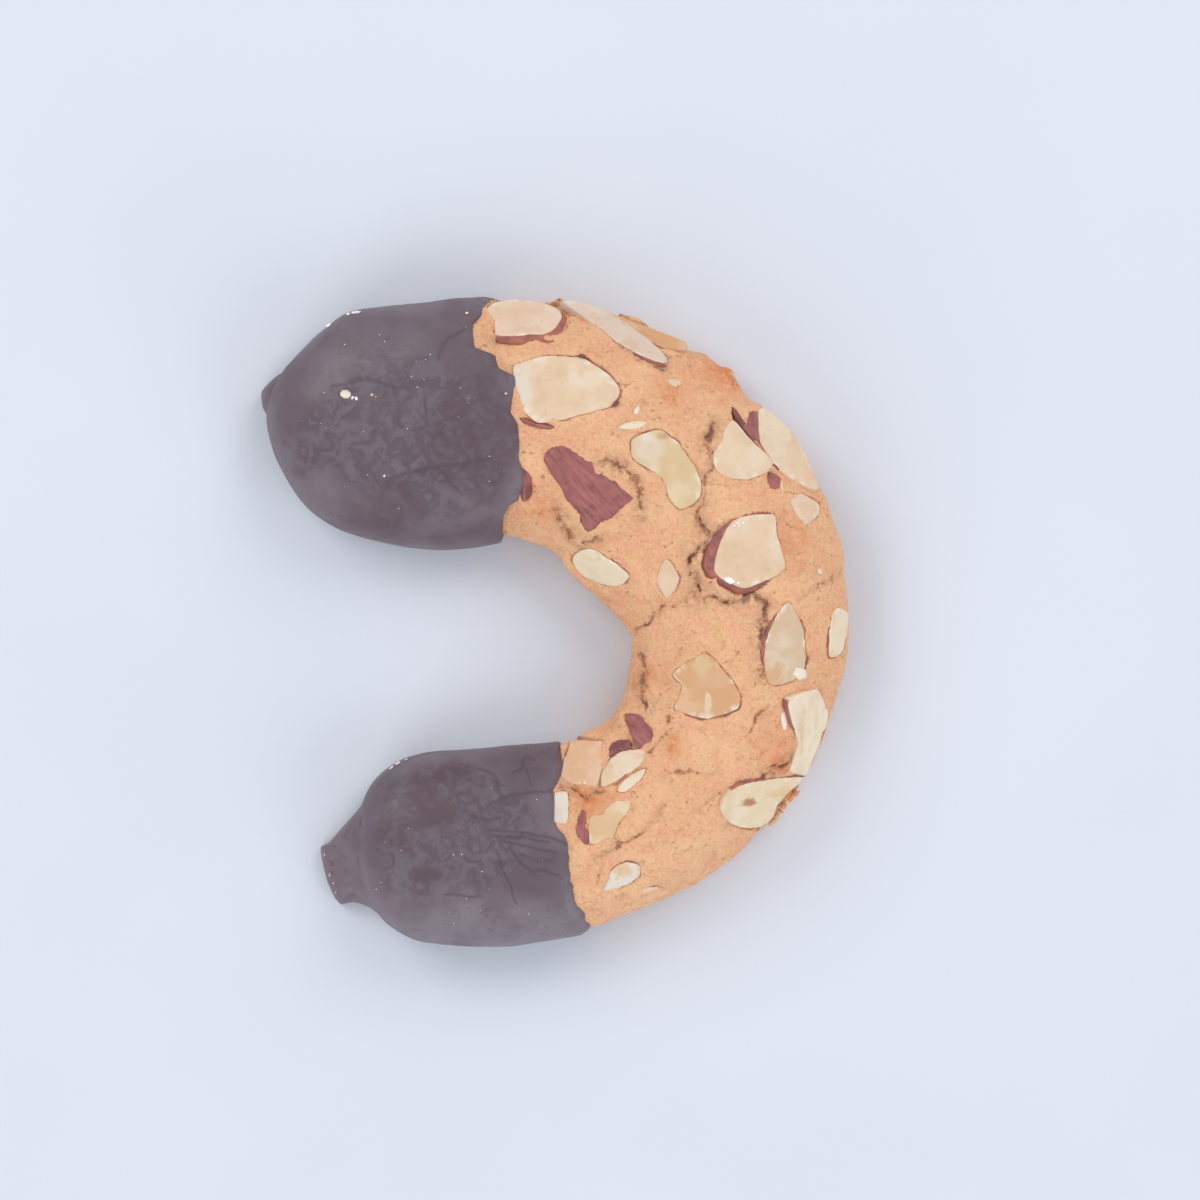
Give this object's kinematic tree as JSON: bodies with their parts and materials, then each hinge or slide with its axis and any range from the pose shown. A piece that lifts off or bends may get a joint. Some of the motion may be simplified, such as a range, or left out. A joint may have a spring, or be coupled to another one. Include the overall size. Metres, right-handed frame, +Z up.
{
  "type": "chocolate dipped almond horn",
  "caption": "C-shaped baked almond biscuit with sliced almonds set in its cracked crust and both ends dipped in dark chocolate.",
  "frame": {"origin": "bottom centre of the horn's box, on the surface that it lies on", "axes": "+X towards the closed side of the C, +Y across the arms towards the broader one, +Z up out of the flat base"},
  "size_m": [0.1088, 0.1204, 0.0202],
  "materials": {
    "biscuit": "golden baked almond dough, matte, crumbly and cracked",
    "chocolate": "set dark chocolate, satin, faintly streaked",
    "almond": "cut almond flesh, matte, cream",
    "almond_skin": "almond skin, matte, red-brown with fine ribs"
  },
  "bodies": {
    "root": {"biscuit": "biscuit", "chocolate_upper": "chocolate", "chocolate_lower": "chocolate"}
  },
  "joints": []
}
